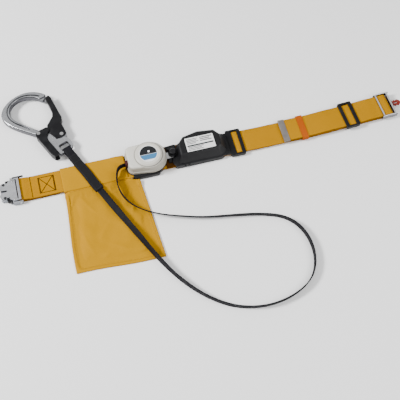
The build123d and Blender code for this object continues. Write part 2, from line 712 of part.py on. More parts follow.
with BuildPart() as hook_gate:
    extrude(hook_polygon(gate_outline, -gate_half, 1.6), amount=2 * gate_half)
    fillet(hook_gate.edges().group_by(Axis.Z)[-1], 1.0)
    fillet(hook_gate.edges().group_by(Axis.Z)[0], 1.0)
    with Locations(hook_plane * Location((48, -4, gate_half))):
        Cylinder(2.6, 0.8)
    extrude(hook_polygon(gate_slot, -gate_slot_half), amount=2 * gate_slot_half, mode=Mode.SUBTRACT)
    with BuildSketch(hook_plane.offset(-gate_slot_half)):
        with Locations((116, -35)):
            Rectangle(30, 30)
        with Locations(gate_pivot):
            Circle(gate_slot_start, mode=Mode.SUBTRACT)
    extrude(amount=2 * gate_slot_half, mode=Mode.SUBTRACT)
    with Locations(hook_plane * Location((*gate_pivot, 0))):
        Cylinder(14.5, 2 * gate_slot_half, mode=Mode.SUBTRACT)
        Cylinder(pin_r + 0.06, 20, mode=Mode.SUBTRACT)
save(hook_gate, "hook_gate")

rib_depth = 0.5
with BuildPart() as lock_lever:
    extrude(hook_polygon(lever_outline, -lever_half, 1.6), amount=2 * lever_half)
    fillet(lock_lever.edges().group_by(Axis.Z)[-1], 1.0)
    fillet(lock_lever.edges().group_by(Axis.Z)[0], 1.0)
    extrude(hook_polygon(lever_channel, -lever_inner), amount=2 * lever_inner, mode=Mode.SUBTRACT)
    with BuildSketch(hook_plane.offset(lever_half - rib_depth)):
        for rib in range(8):
            with Locations((-8 + rib * 4.4, 25.2)):
                Rectangle(1.3, 9.5, rotation=-12)
    extrude(amount=2, mode=Mode.SUBTRACT)
    with Locations(hook_plane * Location((*lever_pivot, 0))):
        Cylinder(pin_r + 0.06, 30, mode=Mode.SUBTRACT)
save(lock_lever, "lock_lever")

for label, place, reach in (("gate_pin", gate_pivot, gate_half), ("lever_pin", lever_pivot, lever_half)):
    with BuildPart() as pin:
        with Locations(hook_plane * Location((*place, 0))):
            Cylinder(pin_r, 2 * reach + 0.6)
        for end in (-1, 1):
            with Locations(hook_plane * Location((*place, end * (reach + 0.7)))):
                Cylinder(pin_r + 1.2, 1.0)
    save(pin, label)

# ---------------------------------------------------------------- webbing at the hook
with BuildPart() as hook_loop:
    with BuildSketch(side_plane.offset(-8.5)):
        with BuildLine():
            lower = Polyline((sleeve_start, -1.15), (-25.5, -1.15), (-17, -4.85), (eye_bar_x, -4.85))
            turn = ThreePointArc(lower @ 1, (eye_bar_x + 4.85, 0), (eye_bar_x, 4.85))
            Polyline(turn @ 1, (-17, 4.85), (-25.5, 1.15), (sleeve_start, 1.15))
        trace(line_width=2.0)
    extrude(amount=17)
save(hook_loop, "hook_loop")

with BuildPart() as webbing_sleeve:
    with BuildSketch(hook_plane.offset(-2.4)):
        with Locations(((sleeve_start + sleeve_end) / 2, 0)):
            Rectangle(sleeve_start - sleeve_end, 19)
    extrude(amount=4.8)
    fillet(webbing_sleeve.edges().filter_by(Axis((0, 0, 0), along)), 2.0)
save(webbing_sleeve, "webbing_sleeve")

# ---------------------------------------------------------------- lifeline, from the reel's mouth to the sleeve
over_bag = 10.6
on_floor = 7.1
sleeve_tip = (hook_x + sleeve_end * along[0], hook_y + sleeve_end * along[1])
lead_in = (sleeve_tip[0] - 46 * along[0], sleeve_tip[1] - 46 * along[1])
route = [
    (mouth_x, mouth_y, web_mid_z),
    (-137.5, mouth_y, web_mid_z),
    (-146, -22, 16.5),
    (-148, -46, 12.5),
    (-138.5, -76, over_bag),
    (-116, -101, over_bag),
    (-82, -121, over_bag),
    (-44, -134, 8.8),
    (0, -147, on_floor),
    (52, -156, on_floor),
    (104, -166, on_floor),
    (150, -184, on_floor),
    (176, -222, on_floor),
    (179, -274, on_floor),
    (158, -318, on_floor),
    (112, -342, on_floor),
    (58, -348, on_floor),
    (4, -334, on_floor),
    (-42, -300, on_floor),
    (-80, -254, 8.5),
    (-108, -204, over_bag),
    (-134, -146, over_bag),
    (*lead_in, hook_z),
    (*sleeve_tip, hook_z),
]
corners = [Vector(*point) for point in route]
radii = []
for before, here, after in zip(corners, corners[1:], corners[2:]):
    turn = (here - before).get_angle(after - here)
    shorter = min((here - before).length, (after - here).length)
    radii.append(0.45 * shorter / math.tan(math.radians(turn / 2)))
print("lifeline radii:", [round(radius, 1) for radius in radii])

with BuildPart() as lifeline_cord:
    with BuildLine() as cord_line:
        FilletPolyline(*route, radius=radii)
    with BuildSketch(Plane(origin=cord_line.line @ 0, z_dir=cord_line.line % 0)):
        Circle(cord_diameter / 2)
    sweep(path=cord_line.line)
save(lifeline_cord, "lifeline_cord")
cord_length = sum(edge.length for edge in cord_line.edges())
ideal = math.pi * (cord_diameter / 2) ** 2 * cord_length
print("lifeline length:", round(cord_length, 1), "volume ratio:", round(lifeline_cord.part.volume / ideal, 4))
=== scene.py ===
import json
import math

import bpy
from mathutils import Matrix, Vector, noise


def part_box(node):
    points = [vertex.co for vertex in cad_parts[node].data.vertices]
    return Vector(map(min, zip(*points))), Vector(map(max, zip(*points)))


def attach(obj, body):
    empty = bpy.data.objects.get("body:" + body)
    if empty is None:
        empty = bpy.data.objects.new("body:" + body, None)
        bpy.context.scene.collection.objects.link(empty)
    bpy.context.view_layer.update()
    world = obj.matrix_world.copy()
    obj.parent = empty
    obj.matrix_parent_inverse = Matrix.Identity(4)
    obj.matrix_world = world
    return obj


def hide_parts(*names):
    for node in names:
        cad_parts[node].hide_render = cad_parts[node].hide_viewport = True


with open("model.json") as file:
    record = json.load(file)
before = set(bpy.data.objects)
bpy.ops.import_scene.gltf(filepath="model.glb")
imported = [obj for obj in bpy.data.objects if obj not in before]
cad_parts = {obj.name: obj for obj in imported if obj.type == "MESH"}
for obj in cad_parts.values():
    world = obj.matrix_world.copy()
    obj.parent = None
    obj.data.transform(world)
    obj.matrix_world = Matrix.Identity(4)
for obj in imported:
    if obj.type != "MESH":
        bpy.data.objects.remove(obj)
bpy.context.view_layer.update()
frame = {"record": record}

MM = 0.001

# ---------------------------------------------------------------- places taken from the frame


def middle(node):
    low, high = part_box(node)
    return (Vector(low) + Vector(high)) / 2


BELT_HALF = 25.0
BELT_Z = 5.25
BEND_X, BEND_HALF, BEND_TURN = 270.0, 16.0, math.radians(3.0)
TAIL_Z = 9.6
BELT_THICK = 2.5
TAIL_END = middle("belt_tip").x / MM - 5
LEFT_BAR = middle("left_bar") / MM
RIGHT_BAR = middle("right_bar") / MM
LEFT_LOOP_R = 3.5
RIGHT_LOOP_R = 4.0
STITCHED_END = -258.0

HOOK_ANGLE = math.radians(113.5)
ALONG = Vector((math.cos(HOOK_ANGLE), math.sin(HOOK_ANGLE), 0))
ACROSS = Vector((-ALONG.y, ALONG.x, 0))
HOOK_ORIGIN = Vector((-232.5, 75.5, 10.5))
SLEEVE_START, SLEEVE_END = -28.0, -126.0
EYE_BAR_X = -12.0

# ---------------------------------------------------------------- camera, lights, floor


def make_camera():
    data = bpy.data.cameras.new("camera")
    data.sensor_width = 36.0
    data.lens = 18.0 / math.tan(math.radians(14.0))
    camera = bpy.data.objects.new("camera", data)
    bpy.context.collection.objects.link(camera)
    azimuth, elevation = math.radians(-14.5), math.radians(62.0)
    back = Vector((
        math.sin(azimuth) * math.cos(elevation),
        -math.cos(azimuth) * math.cos(elevation),
        math.sin(elevation),
    ))
    camera.location = (-0.1819, -0.8083, 1.3663)
    camera.rotation_euler = (-back).to_track_quat("-Z", "Y").to_euler()
    data.clip_start, data.clip_end = 0.05, 60.0
    bpy.context.scene.camera = camera


def make_light(name, place, aim, size, watts):
    data = bpy.data.lights.new(name, "AREA")
    data.shape = "DISK"
    data.size = size
    data.energy = watts
    light = bpy.data.objects.new(name, data)
    light.location = place
    light.rotation_euler = (Vector(aim) - Vector(place)).to_track_quat("-Z", "Y").to_euler()
    bpy.context.collection.objects.link(light)


def make_world():
    """Soft studio: a bright ceiling that falls off towards the horizon."""
    world = bpy.data.worlds.new("studio")
    world.use_nodes = True
    nodes, links = world.node_tree.nodes, world.node_tree.links
    place = nodes.new("ShaderNodeTexCoord")
    split = nodes.new("ShaderNodeSeparateXYZ")
    ramp = nodes.new("ShaderNodeValToRGB")
    links.new(place.outputs["Generated"], split.inputs[0])
    links.new(split.outputs["Z"], ramp.inputs["Fac"])
    links.new(ramp.outputs["Color"], nodes["Background"].inputs["Color"])
    ramp.color_ramp.elements[0].position = 0.0
    ramp.color_ramp.elements[0].color = (0.10, 0.10, 0.11, 1)
    ramp.color_ramp.elements[1].position = 0.75
    ramp.color_ramp.elements[1].color = (1.0, 1.0, 1.0, 1)
    middle_stop = ramp.color_ramp.elements.new(0.35)
    middle_stop.color = (0.45, 0.46, 0.48, 1)
    nodes["Background"].inputs["Strength"].default_value = 0.75
    bpy.context.scene.world = world


def make_floor():
    mesh = bpy.data.meshes.new("floor")
    mesh.from_pydata([(-40, -40, 0), (40, -40, 0), (40, 40, 0), (-40, 40, 0)], [], [(0, 1, 2, 3)])
    floor = bpy.data.objects.new("floor", mesh)
    floor.location.z = -0.0004
    bpy.context.collection.objects.link(floor)
    material = bpy.data.materials.new("floor_paper")
    material.use_nodes = True
    shader = material.node_tree.nodes["Principled BSDF"]
    shader.inputs["Base Color"].default_value = (0.95, 0.95, 0.95, 1)
    shader.inputs["Roughness"].default_value = 0.9
    mesh.materials.append(material)


# ---------------------------------------------------------------- materials


class Surface:
    """A Principled material with procedural detail added to it step by step."""

    def __init__(self, name, colour, rough=0.5, metal=0.0, specular=0.5, sheen=0.0):
        self.material = bpy.data.materials.new(name)
        self.material.use_nodes = True
        self.nodes = self.material.node_tree.nodes
        self.links = self.material.node_tree.links
        self.shader = self.nodes["Principled BSDF"]
        self.colour = (*colour, 1)
        self.shader.inputs["Base Color"].default_value = self.colour
        self.shader.inputs["Roughness"].default_value = rough
        self.shader.inputs["Metallic"].default_value = metal
        self.shader.inputs["Specular IOR Level"].default_value = specular
        if sheen:
            self.shader.inputs["Sheen Weight"].default_value = sheen
            self.shader.inputs["Sheen Roughness"].default_value = 0.6
        self.rough = rough
        self.place = self.nodes.new("ShaderNodeTexCoord").outputs["Object"]
        self.height = None

    def uv(self):
        self.place = self.nodes.new("ShaderNodeTexCoord").outputs["UV"]
        return self

    def maths(self, kind, first, second=None):
        node = self.nodes.new("ShaderNodeMath")
        node.operation = kind
        for socket, value in zip(node.inputs, (first, second)):
            if value is None:
                continue
            if isinstance(value, (int, float)):
                socket.default_value = value
            else:
                self.links.new(value, socket)
        return node.outputs[0]

    def axis(self, name):
        split = self.nodes.new("ShaderNodeSeparateXYZ")
        self.links.new(self.place, split.inputs[0])
        return split.outputs[name]

    def noise(self, scale, detail=3.0, stretch=None):
        texture = self.nodes.new("ShaderNodeTexNoise")
        texture.inputs["Scale"].default_value = scale
        texture.inputs["Detail"].default_value = detail
        place = self.place
        if stretch:
            mapping = self.nodes.new("ShaderNodeMapping")
            mapping.inputs["Scale"].default_value = stretch
            self.links.new(place, mapping.inputs["Vector"])
            place = mapping.outputs["Vector"]
        self.links.new(place, texture.inputs["Vector"])
        return texture.outputs["Fac"]

    def spread(self, value, low, high, start=0.3, end=0.7):
        node = self.nodes.new("ShaderNodeMapRange")
        node.inputs["From Min"].default_value = start
        node.inputs["From Max"].default_value = end
        node.inputs["To Min"].default_value = low
        node.inputs["To Max"].default_value = high
        self.links.new(value, node.inputs["Value"])
        return node.outputs["Result"]

    def tint(self, value, other, start=0.35, end=0.65):
        """Mix towards another colour where value is high."""
        mix = self.nodes.new("ShaderNodeMix")
        mix.data_type = "RGBA"
        self.links.new(self.spread(value, 0, 1, start, end), mix.inputs["Factor"])
        base = self.shader.inputs["Base Color"]
        if base.links:
            self.links.new(base.links[0].from_socket, mix.inputs[6])
        else:
            mix.inputs[6].default_value = self.colour
        mix.inputs[7].default_value = (*other, 1)
        self.links.new(mix.outputs[2], base)
        return self

    def worn(self, value, low, high, start=0.3, end=0.7):
        self.links.new(self.spread(value, low, high, start, end), self.shader.inputs["Roughness"])
        return self

    def upright(self):
        """How much a face looks up or down in the piece's own frame: 1 on top, 0 on a side wall."""
        split = self.nodes.new("ShaderNodeSeparateXYZ")
        place = self.nodes.new("ShaderNodeTexCoord")
        self.links.new(place.outputs["Normal"], split.inputs[0])
        return self.maths("ABSOLUTE", split.outputs["Z"])

    def off_centre(self):
        """Distance from a strap's middle line, in metres."""
        split = self.nodes.new("ShaderNodeSeparateXYZ")
        place = self.nodes.new("ShaderNodeTexCoord")
        self.links.new(place.outputs["UV"], split.inputs[0])
        return self.maths("ABSOLUTE", split.outputs["X"])

    def bump(self, value, depth, strength=0.6):
        node = self.nodes.new("ShaderNodeBump")
        node.inputs["Strength"].default_value = strength
        node.inputs["Distance"].default_value = depth
        self.links.new(value, node.inputs["Height"])
        if self.height is not None:
            self.links.new(self.height, node.inputs["Normal"])
        self.height = node.outputs["Normal"]
        self.links.new(self.height, self.shader.inputs["Normal"])
        return self

    def ribs(self, axis, pitch):
        """0..1 ridges at the given pitch in metres."""
        turned = self.maths("MULTIPLY", self.axis(axis), 2 * math.pi / pitch)
        return self.maths("MULTIPLY", self.maths("ADD", self.maths("SINE", turned), 1.0), 0.5)

    def weave(self, across, along):
        """Plain weave: ridges of two thread directions that take turns."""
        first = self.ribs("X", across)
        second = self.ribs("Y", along)
        both = self.maths("ADD", first, second)
        crossed = self.maths("MULTIPLY", first, second)
        return self.maths("SUBTRACT", both, self.maths("MULTIPLY", crossed, 2.0))

    def herringbone(self, run, band, pitch):
        """Slanted threads that change direction from band to band."""
        zigzag = self.maths("PINGPONG", self.axis(band), 0.004)
        slant = self.maths("ADD", self.axis(run), zigzag)
        turned = self.maths("MULTIPLY", slant, 2 * math.pi / pitch)
        return self.maths("MULTIPLY", self.maths("ADD", self.maths("SINE", turned), 1.0), 0.5)


# dark brown for the strap's two edges: painted shade where the edges turn away from the light
EDGE_SHADE_BROWN = (0.13, 0.055, 0.004)


def webbing_surface(name, colour, light, dark, run="X", band="Y"):
    surface = Surface(name, colour, rough=0.8, specular=0.04, sheen=0.0)
    threads = surface.herringbone(run, band, 0.0016)
    surface.tint(surface.noise(14.0, 2.0), light, 0.4, 0.75)
    surface.tint(threads, dark, 0.9, 0.0)
    # painted shade: both edges of the strap tinted dark brown
    surface.tint(surface.off_centre(), EDGE_SHADE_BROWN, 0.0232, 0.0250)
    surface.worn(surface.noise(60.0), 0.62, 0.85)
    return surface.bump(threads, 0.00025, 0.7)


def cloth_surface(name, colour, light, dark):
    surface = Surface(name, colour, rough=0.8, specular=0.04, sheen=0.0)
    threads = surface.weave(0.0009, 0.0009)
    surface.tint(surface.noise(9.0, 2.0), light, 0.4, 0.7)
    surface.tint(threads, dark, 1.1, -0.6)
    surface.worn(surface.noise(40.0), 0.5, 0.7)
    surface.bump(surface.noise(120.0, 4.0), 0.0004, 0.35)
    return surface.bump(threads, 0.00012, 0.5)


def plastic_surface(name, colour, rough, grain=0.00006, light=None, side_shade=None):
    surface = Surface(name, colour, rough=rough, specular=0.25)
    if light:
        surface.tint(surface.noise(16.0, 4.0), light, 0.45, 0.8)
    if side_shade:
        # painted shade: side walls and chamfers take the darker side_shade colour
        surface.tint(surface.upright(), side_shade, 0.97, 0.5)
    surface.worn(surface.noise(45.0, 5.0), rough - 0.08, rough + 0.12)
    return surface.bump(surface.noise(1800.0, 2.0), grain, 0.5)


def metal_surface(name, colour, rough, dull, scratches=(1, 1, 1), grain=0.00002, metal=1.0, side_shade=None):
    surface = Surface(name, colour, rough=rough, metal=metal, specular=0.5 if metal else 0.2)
    surface.tint(surface.noise(55.0, 5.0, scratches), dull, 0.45, 0.8)
    if side_shade:
        # painted shade: side walls and chamfers take the darker side_shade colour, standing in for dark reflections
        surface.tint(surface.upright(), side_shade, 0.985, 0.75)
    surface.worn(surface.noise(120.0, 4.0, scratches), rough - 0.05, rough + 0.08)
    return surface.bump(surface.noise(900.0, 3.0, scratches), grain, 0.4)


def thread_surface(name, colour, dark):
    surface = Surface(name, colour, rough=0.8, specular=0.04)
    surface.tint(surface.noise(900.0), dark, 0.4, 0.7)
    return surface.bump(surface.noise(2600.0, 2.0), 0.0001, 0.6)


def make_materials():
    made = {
        "yellow_webbing": webbing_surface(
            "yellow_webbing", (0.46, 0.218, 0.001), (0.51, 0.248, 0.002), (0.30, 0.132, 0.001)),
        "yellow_cloth": cloth_surface(
            "yellow_cloth", (0.46, 0.226, 0.001), (0.52, 0.260, 0.002), (0.31, 0.148, 0.001)),
        "brown_thread": thread_surface("brown_thread", (0.075, 0.028, 0.004), (0.04, 0.015, 0.003)),
        "yellow_thread": thread_surface("yellow_thread", (0.50, 0.27, 0.04), (0.32, 0.16, 0.02)),
        "black_thread": thread_surface("black_thread", (0.05, 0.05, 0.055), (0.02, 0.02, 0.02)),
        "tip_metal": metal_surface("tip_metal", (0.36, 0.33, 0.31), 0.42, (0.22, 0.20, 0.19)),
        "orange_elastic": webbing_surface(
            "orange_elastic", (0.42, 0.085, 0.005), (0.48, 0.11, 0.008), (0.30, 0.055, 0.004), "X", "Y"),
        "black_steel": metal_surface(
            "black_steel", (0.006, 0.006, 0.007), 0.42, (0.013, 0.013, 0.014), metal=0.0),
        "black_plastic": plastic_surface("black_plastic", (0.007, 0.007, 0.008), 0.42, light=(0.013, 0.013, 0.014)),
        # side_shade on the reel case: painted shade on its side walls
        "case_plastic": plastic_surface("case_plastic", (0.60, 0.58, 0.52), 0.42, light=(0.67, 0.65, 0.59),
                                        side_shade=(0.42, 0.40, 0.34)),
        # dark colour for a ring painted as the shade in the groove at the reel dome's foot
        "case_groove_shade": plastic_surface("case_groove_shade", (0.24, 0.23, 0.20), 0.5),
        "badge_print": plastic_surface("badge_print", (0.80, 0.80, 0.80), 0.3),
        "mouth_plastic": plastic_surface("mouth_plastic", (0.045, 0.008, 0.008), 0.4),
        "zinc_steel": metal_surface("zinc_steel", (0.62, 0.62, 0.62), 0.28, (0.45, 0.45, 0.45)),
        "bronze": metal_surface("bronze", (0.45, 0.26, 0.10), 0.4, (0.30, 0.17, 0.07)),
        "spring_steel": metal_surface("spring_steel", (0.30, 0.31, 0.33), 0.35, (0.16, 0.16, 0.17)),
        "label_print": plastic_surface("label_print", (0.80, 0.80, 0.79), 0.5, light=(0.70, 0.70, 0.69)),
        # side_shade on these metals: painted dark reflections on side walls and chamfers
        "aluminium_cast": metal_surface("aluminium_cast", (0.78, 0.79, 0.82), 0.24, (0.62, 0.63, 0.66),
                                        side_shade=(0.20, 0.21, 0.23)),
        "aluminium_forged": metal_surface(
            "aluminium_forged", (0.58, 0.59, 0.61), 0.25, (0.48, 0.49, 0.51), (1, 1, 6), side_shade=(0.10, 0.10, 0.11)),
        "chrome_steel": metal_surface("chrome_steel", (0.85, 0.85, 0.86), 0.14, (0.70, 0.70, 0.71),
                                      side_shade=(0.18, 0.18, 0.19)),
        "red_plastic": plastic_surface("red_plastic", (0.17, 0.014, 0.008), 0.38, light=(0.24, 0.025, 0.012)),
        "black_paint": metal_surface(
            "black_paint", (0.006, 0.006, 0.007), 0.36, (0.015, 0.015, 0.016), metal=0.0),
        "print_black": plastic_surface("print_black", (0.012, 0.013, 0.015), 0.35),
        "print_blue": plastic_surface("print_blue", (0.05, 0.17, 0.33), 0.35),
        "print_white": plastic_surface("print_white", (0.80, 0.81, 0.82), 0.35),
        "print_grey": plastic_surface("print_grey", (0.07, 0.07, 0.075), 0.5),
    }
    strap = Surface("black_webbing", (0.006, 0.006, 0.008), rough=0.6, specular=0.1, sheen=0.0).uv()
    threads = strap.herringbone("Y", "X", 0.0015)
    strap.tint(threads, (0.014, 0.013, 0.016), 0.2, 1.2)
    strap.worn(strap.noise(90.0), 0.5, 0.75)
    strap.bump(threads, 0.00022, 0.7)
    made["black_webbing"] = strap
    sleeve = Surface("black_sleeve", (0.006, 0.006, 0.007), rough=0.7, specular=0.08, sheen=0.0).uv()
    threads = sleeve.weave(0.0011, 0.0014)
    sleeve.tint(threads, (0.020, 0.020, 0.022), 0.1, 1.4)
    sleeve.worn(sleeve.noise(70.0), 0.55, 0.8)
    sleeve.bump(threads, 0.00025, 0.7)
    made["black_sleeve"] = sleeve
    return {name: surface.material for name, surface in made.items()}


# ---------------------------------------------------------------- mesh helpers


def smoothstep(value, low=0.0, high=1.0):
    share = min(1.0, max(0.0, (value - low) / (high - low)))
    return share * share * (3 - 2 * share)


def add_piece(name, verts, faces, material, body="root", uvs=None, smooth=True):
    """A mesh piece from points in millimetres, riding on a body."""
    mesh = bpy.data.meshes.new(name)
    mesh.from_pydata([tuple(co * MM for co in vert) for vert in verts], [], faces)
    if uvs:
        layer = mesh.uv_layers.new(name="UVMap")
        for loop in mesh.loops:
            layer.data[loop.index].uv = uvs[loop.vertex_index]
    mesh.polygons.foreach_set("use_smooth", [smooth] * len(mesh.polygons))
    mesh.materials.append(MATERIALS[material])
    piece = bpy.data.objects.new(name, mesh)
    bpy.context.collection.objects.link(piece)
    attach(piece, body)
    return piece


def rounded_section(width, thick, edge_points=3):
    """Outline of a strap's cross-section, round at its two selvedges, anticlockwise."""
    half, radius = width / 2, thick / 2
    flat = half - radius
    points = [(-flat + 2 * flat * step / 4, -radius) for step in range(5)]
    for step in range(1, edge_points + 1):
        turn = math.pi * step / (edge_points + 1) - math.pi / 2
        points.append((flat + radius * math.cos(turn), radius * math.sin(turn)))
    points += [(flat - 2 * flat * step / 4, radius) for step in range(5)]
    for step in range(1, edge_points + 1):
        turn = math.pi * step / (edge_points + 1) + math.pi / 2
        points.append((-flat + radius * math.cos(turn), radius * math.sin(turn)))
    return points


def sweep(frames, section):
    """Points and faces of a section swept through (place, width direction, thick direction, run)."""
    verts, uvs, faces = [], [], []
    count = len(section)
    for place, wide, thick, run in frames:
        for a, b in section:
            verts.append(place + wide * a + thick * b)
            uvs.append((a * MM, run * MM))
    for row in range(len(frames) - 1):
        for col in range(count):
            right = (col + 1) % count
            here, there = row * count, (row + 1) * count
            faces.append((here + col, here + right, there + right, there + col))
    faces.append(tuple(range(count))[::-1])
    last = (len(frames) - 1) * count
    faces.append(tuple(range(last, last + count)))
    return verts, faces, uvs


def thin_line(points, spacing):
    """Evenly spaced points along a polyline, with its corners rounded by two passes."""
    line = [Vector(point) for point in points]
    for _ in range(3):
        cut = [line[0]]
        for before, after in zip(line, line[1:]):
            cut += [before.lerp(after, 0.25), before.lerp(after, 0.75)]
        line = cut + [line[-1]]
    result, carried = [line[0]], 0.0
    for before, after in zip(line, line[1:]):
        length = (after - before).length
        while length > 0 and carried + length >= spacing:
            share = (spacing - carried) / length
            before = before.lerp(after, share)
            length = (after - before).length
            carried = 0.0
            result.append(before.copy())
        carried += length
    result.append(line[-1])
    return result


def stitches(name, runs, pitch, length, width, material, body="root", height=0.45):
    """Rows of raised stitches: each run is (start, end) in millimetres, along a surface."""
    verts, faces = [], []
    for start, end in runs:
        start, end = Vector(start), Vector(end)
        direction = (end - start).normalized()
        side = direction.cross(Vector((0, 0, 1))).normalized()
        up = side.cross(direction)
        count = max(1, int((end - start).length / pitch))
        for step in range(count):
            centre = start + (end - start) * ((step + 0.5) / count)
            base = len(verts)
            for along, wide, high in (
                (-0.5, 0.25, 0.0), (-0.5, -0.25, 0.0), (-0.3, -0.5, 0.7), (0.3, -0.5, 0.7),
                (0.5, -0.25, 0.0), (0.5, 0.25, 0.0), (0.3, 0.5, 0.7), (-0.3, 0.5, 0.7),
                (-0.25, 0.0, 1.0), (0.25, 0.0, 1.0),
            ):
                verts.append(centre + direction * along * length + side * wide * width + up * high * height)
            faces += [tuple(base + i for i in face) for face in (
                (0, 1, 8), (1, 2, 8), (2, 3, 9, 8), (3, 4, 9), (4, 5, 9), (5, 6, 9), (6, 7, 8, 9), (7, 0, 8),
                (7, 6, 5, 4, 3, 2, 1, 0),
            )]
    return add_piece(name, verts, faces, material, body, smooth=True)


# ---------------------------------------------------------------- lifeline

ROUTE = [
    (-124, -4, 19.7), (-137.5, -4, 19.7), (-146, -22, 16.5), (-148, -46, 12.5),
    (-138.5, -76, 10.6), (-116, -101, 10.6), (-82, -121, 10.6), (-44, -134, 8.8),
    (0, -147, 7.1), (52, -156, 7.1), (104, -166, 7.1), (150, -184, 7.1),
    (176, -222, 7.1), (179, -274, 7.1), (158, -318, 7.1), (112, -342, 7.1),
    (58, -348, 7.1), (4, -334, 7.1), (-42, -300, 7.1), (-80, -254, 8.5),
    (-108, -204, 10.6), (-134, -146, 10.6),
    tuple(HOOK_ORIGIN + ALONG * (SLEEVE_END - 46)),
    tuple(HOOK_ORIGIN + ALONG * SLEEVE_END),
]
WEB_WIDTH = 13.0
WEB_THICK = 2.2


def nurbs_line(points, resolution=14):
    """Points, in millimetres, along the NURBS spline that has these control points."""
    curve = bpy.data.curves.new("guide", "CURVE")
    curve.dimensions = "3D"
    spline = curve.splines.new("NURBS")
    spline.points.add(len(points) - 1)
    for knot, point in zip(spline.points, points):
        knot.co = (*[co * MM for co in point], 1)
    spline.order_u = 3
    spline.use_endpoint_u = True
    spline.resolution_u = resolution
    guide = bpy.data.objects.new("guide", curve)
    bpy.context.collection.objects.link(guide)
    mesh = bpy.data.meshes.new_from_object(guide)
    line = [vert.co / MM for vert in mesh.vertices]
    bpy.data.objects.remove(guide)
    bpy.data.curves.remove(curve)
    bpy.data.meshes.remove(mesh)
    return line


def strap_frames(line, lean):
    """Frames along a line. lean(share) is the turn of the strap's width out of the level, in degrees."""
    runs = [0.0]
    for before, after in zip(line, line[1:]):
        runs.append(runs[-1] + (after - before).length)
    frames = []
    for index, place in enumerate(line):
        before = line[max(0, index - 1)]
        after = line[min(len(line) - 1, index + 1)]
        forward = (after - before).normalized()
        level = forward.cross(Vector((0, 0, 1))).normalized()
        upright = level.cross(forward)
        turn = math.radians(lean(runs[index] / runs[-1]))
        wide = level * math.cos(turn) + upright * math.sin(turn)
        frames.append((place, wide, wide.cross(forward), runs[index]))
    return frames, runs[-1]


def make_lifeline():
    line = nurbs_line(ROUTE)
    leans = [
        (0.0, 90), (0.06, 88), (0.12, 66), (0.20, 68), (0.32, 82), (0.45, 98), (0.60, 96), (0.70, 86),
        (0.78, 77), (0.832, 66), (0.90, 46), (0.96, 20), (1.0, 0),
    ]

    def lean(share):
        for (start, low), (end, high) in zip(leans, leans[1:]):
            if share <= end:
                return low + (high - low) * smoothstep(share, start, end)
        return leans[-1][1]

    frames, length = strap_frames(line, lean)
    verts, faces, uvs = sweep(frames, rounded_section(WEB_WIDTH, WEB_THICK))
    piece = add_piece("lifeline_strap", verts, faces, "black_webbing", "root", uvs)
    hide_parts("lifeline_cord")


# ---------------------------------------------------------------- belt


def belt_profile():
    """Centreline of the belt in x and z: under the left end, over it, to the right end and back."""
    left_x, left_z = LEFT_BAR.x, LEFT_BAR.z
    right_x, right_z = BEND_X + math.hypot(RIGHT_BAR.x - BEND_X, RIGHT_BAR.y), RIGHT_BAR.z
    low = [(STITCHED_END, 2.0), (-290, 1.8), (left_x + 8, left_z - LEFT_LOOP_R), (left_x, left_z - LEFT_LOOP_R)]
    turn = [(left_x - LEFT_LOOP_R * math.cos(a), left_z + LEFT_LOOP_R * math.sin(a)) for a in (-0.9, 0, 0.9)]
    over = [
        (left_x, left_z + LEFT_LOOP_R), (left_x + 8, left_z + LEFT_LOOP_R), (-316, 6.6), (-308, BELT_Z),
        (-262, BELT_Z), (-252, BELT_Z), (-130, BELT_Z), (-20, BELT_Z), (84, BELT_Z),
        (93.5, BELT_Z + 0.2), (99.5, BELT_Z + 1.5), (104.5, BELT_Z + 1.5), (109.5, BELT_Z + 0.2), (118, BELT_Z),
        (150, BELT_Z - 1.0), (200, BELT_Z - 0.8), (330, BELT_Z - 0.6), (398, BELT_Z),
        (right_x - 12, right_z - RIGHT_LOOP_R), (right_x, right_z - RIGHT_LOOP_R),
    ]
    back = [(right_x + RIGHT_LOOP_R * math.cos(a), right_z + RIGHT_LOOP_R * math.sin(a)) for a in (-0.9, 0, 0.9)]
    tail = [
        (right_x, right_z + RIGHT_LOOP_R), (right_x - 10, right_z + RIGHT_LOOP_R), (402, TAIL_Z),
        (384, TAIL_Z + 1.6), (365, TAIL_Z + 0.6), (351, TAIL_Z), (327, TAIL_Z), (315, TAIL_Z + 0.5),
        (290, TAIL_Z + 2.2), (262, TAIL_Z + 0.8), (248, TAIL_Z), (230, TAIL_Z), (212, TAIL_Z), (TAIL_END, TAIL_Z),
    ]
    return low + turn + over + back + tail


def bent(place):
    """A point of the straight belt, moved to where the belt's sideways bend takes it."""
    x, y, z = place
    share = min(1.0, max(0.0, (x - BEND_X + BEND_HALF) / (2 * BEND_HALF)))
    turn = BEND_TURN * share
    if x <= BEND_X - BEND_HALF:
        return Vector((x, y, z))
    radius = 2 * BEND_HALF / BEND_TURN
    if share < 1.0:
        centre = Vector((BEND_X - BEND_HALF, radius, z))
        return centre + Vector((math.sin(turn) * (radius - y), -math.cos(turn) * (radius - y), 0))
    past = Vector((x - BEND_X, y, z))
    return Vector((
        BEND_X + past.x * math.cos(turn) - past.y * math.sin(turn),
        past.x * math.sin(turn) + past.y * math.cos(turn),
        z,
    ))


